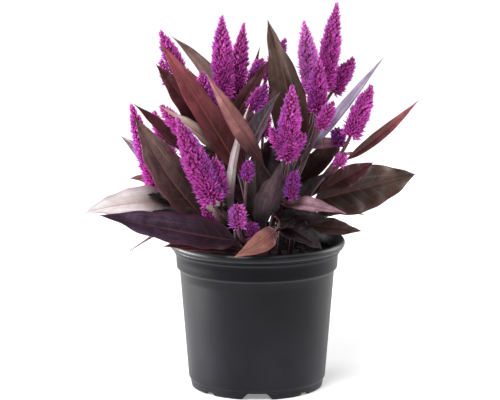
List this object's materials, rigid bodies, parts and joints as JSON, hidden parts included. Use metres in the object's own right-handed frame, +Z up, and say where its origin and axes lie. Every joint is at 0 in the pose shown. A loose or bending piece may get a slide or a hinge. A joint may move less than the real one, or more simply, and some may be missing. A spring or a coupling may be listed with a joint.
{
  "type": "potted celosia plant",
  "caption": "Bushy plume celosia with feathery pointed magenta flower spikes and long dark maroon leaves, growing from dark soil in a round black nursery pot with a rolled rim.",
  "frame": {"origin": "centre of the circle that the pot stands on, at the ground", "axes": "+Z up along the pot's axis through the plant; -Y is the front, the side seen in the picture, and +X is its right"},
  "size_m": [0.2265, 0.17, 0.263],
  "materials": {
    "pot": "semi-matte thermoformed plastic",
    "soil": "coarse dark peat with light specks",
    "leaf_maroon": "satin dark maroon leaf",
    "leaf_olive": "satin brown-olive leaf",
    "leaf_mauve": "satin dark mauve leaf",
    "plume_magenta": "feathery magenta florets",
    "plume_violet": "feathery violet florets"
  },
  "bodies": {
    "root": {"pot": "pot", "soil": "soil", "leafy_stem_01": "leaf_maroon", "leafy_stem_02": "leaf_maroon", "leafy_stem_03": "leaf_olive", "leafy_stem_04": "leaf_maroon", "leafy_stem_05": "leaf_olive", "leafy_stem_06": "leaf_olive", "leafy_stem_07": "leaf_olive", "leafy_stem_08": "leaf_mauve", "leafy_stem_09": "leaf_olive", "leafy_stem_10": "leaf_mauve", "leafy_stem_11": "leaf_maroon", "leafy_stem_12": "leaf_maroon", "leafy_stem_13": "leaf_maroon", "leafy_stem_14": "leaf_maroon", "leafy_stem_15": "leaf_mauve", "leafy_stem_16": "leaf_olive", "leafy_stem_17": "leaf_maroon", "leafy_stem_18": "leaf_olive", "leafy_stem_19": "leaf_maroon", "leafy_stem_20": "leaf_olive", "plume_01": "plume_magenta", "plume_02": "plume_magenta", "plume_03": "plume_magenta", "plume_04": "plume_magenta", "plume_05": "plume_magenta", "plume_06": "plume_magenta", "plume_07": "plume_magenta", "plume_08": "plume_magenta", "plume_09": "plume_magenta", "plume_10": "plume_magenta", "plume_11": "plume_violet", "plume_12": "plume_magenta", "plume_13": "plume_magenta", "plume_14": "plume_violet", "plume_15": "plume_magenta", "plume_16": "plume_magenta", "plume_17": "plume_magenta", "plume_18": "plume_magenta", "plume_19": "plume_magenta", "plume_20": "plume_magenta", "plume_21": "plume_magenta", "plume_22": "plume_magenta", "plume_23": "plume_magenta", "plume_24": "plume_magenta", "plume_25": "plume_violet", "plume_26": "plume_violet", "plume_27": "plume_violet", "plume_28": "plume_magenta", "plume_29": "plume_magenta", "plume_30": "plume_magenta", "plume_31": "plume_magenta", "plume_32": "plume_magenta"}
  },
  "joints": []
}
